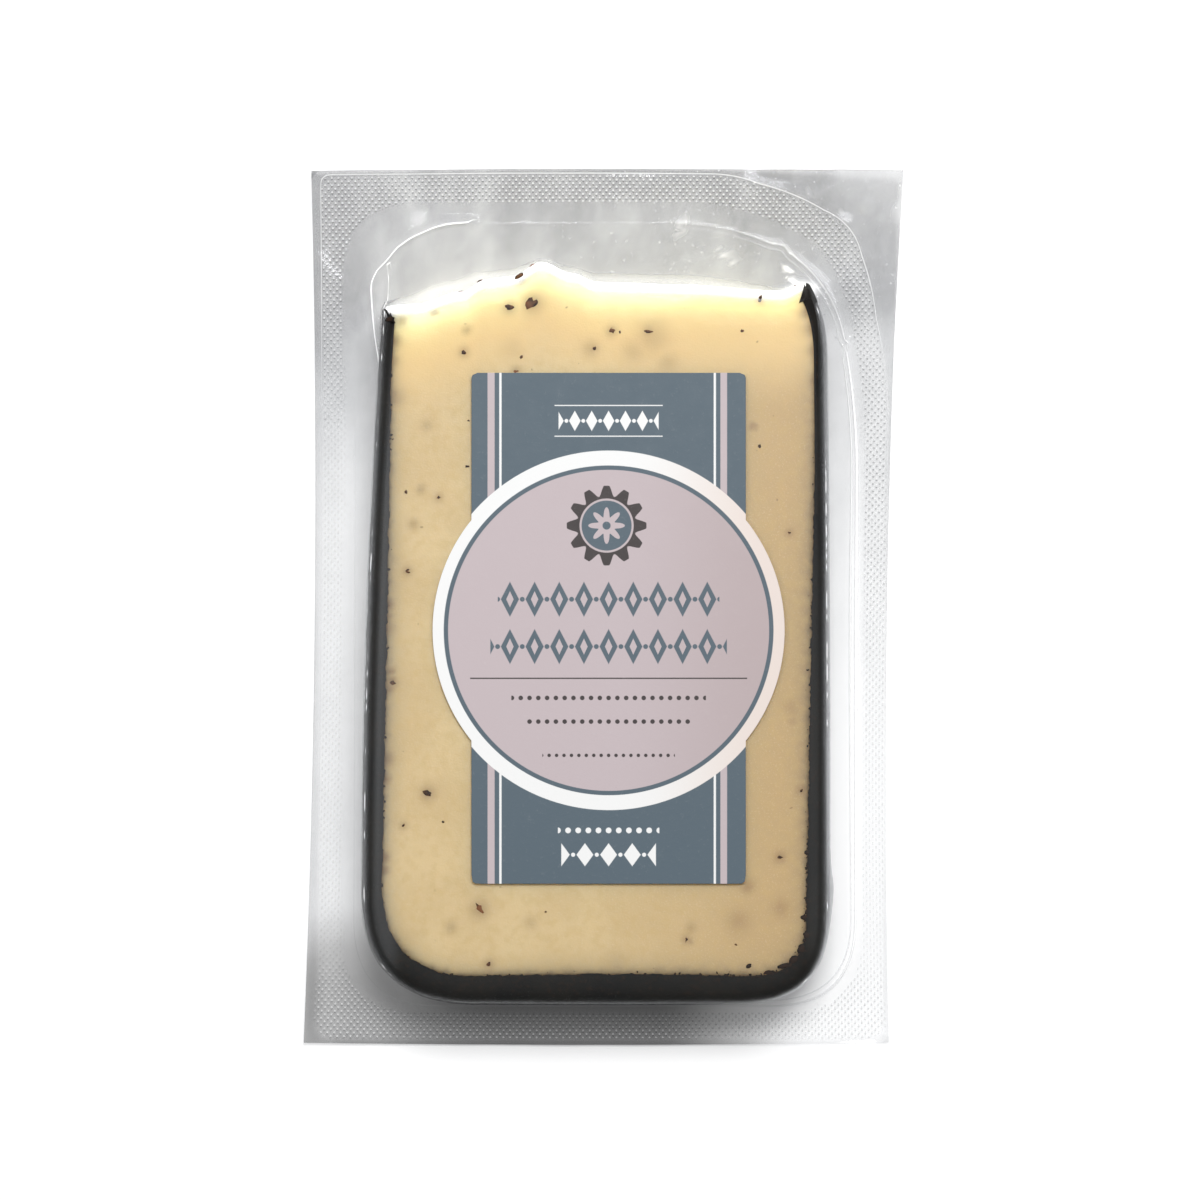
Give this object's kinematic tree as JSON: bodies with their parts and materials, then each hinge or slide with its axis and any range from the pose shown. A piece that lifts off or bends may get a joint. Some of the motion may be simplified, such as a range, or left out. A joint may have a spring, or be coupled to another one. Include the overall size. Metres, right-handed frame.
{
  "type": "truffle cheddar",
  "caption": "Rectangular slab of truffle-flecked cheddar with dark wax on its sides, vacuum packed in clear film with a welded rim, a peel corner and a die-cut paper label.",
  "frame": {"origin": "centre of the bounding box's base, on the flat back that the pack lies on", "axes": "+Z out of the front of the pack, +Y along its length to the slab's broken end, +X across it to the side with the peel corner"},
  "size_m": [0.0912, 0.1338, 0.0214],
  "materials": {
    "clear_film": "clear gloss film",
    "cheese": "moist cut cheese, pale yellow with dark flecks",
    "wax": "brown-black wax, satin",
    "label_paper": "slate blue printed paper, satin",
    "truffle": "dark brown flecks"
  },
  "bodies": {
    "root": {"back_film": "clear_film", "cheese": "cheese", "wax_coat": "wax", "front_film": "clear_film", "label": "label_paper"}
  },
  "joints": []
}
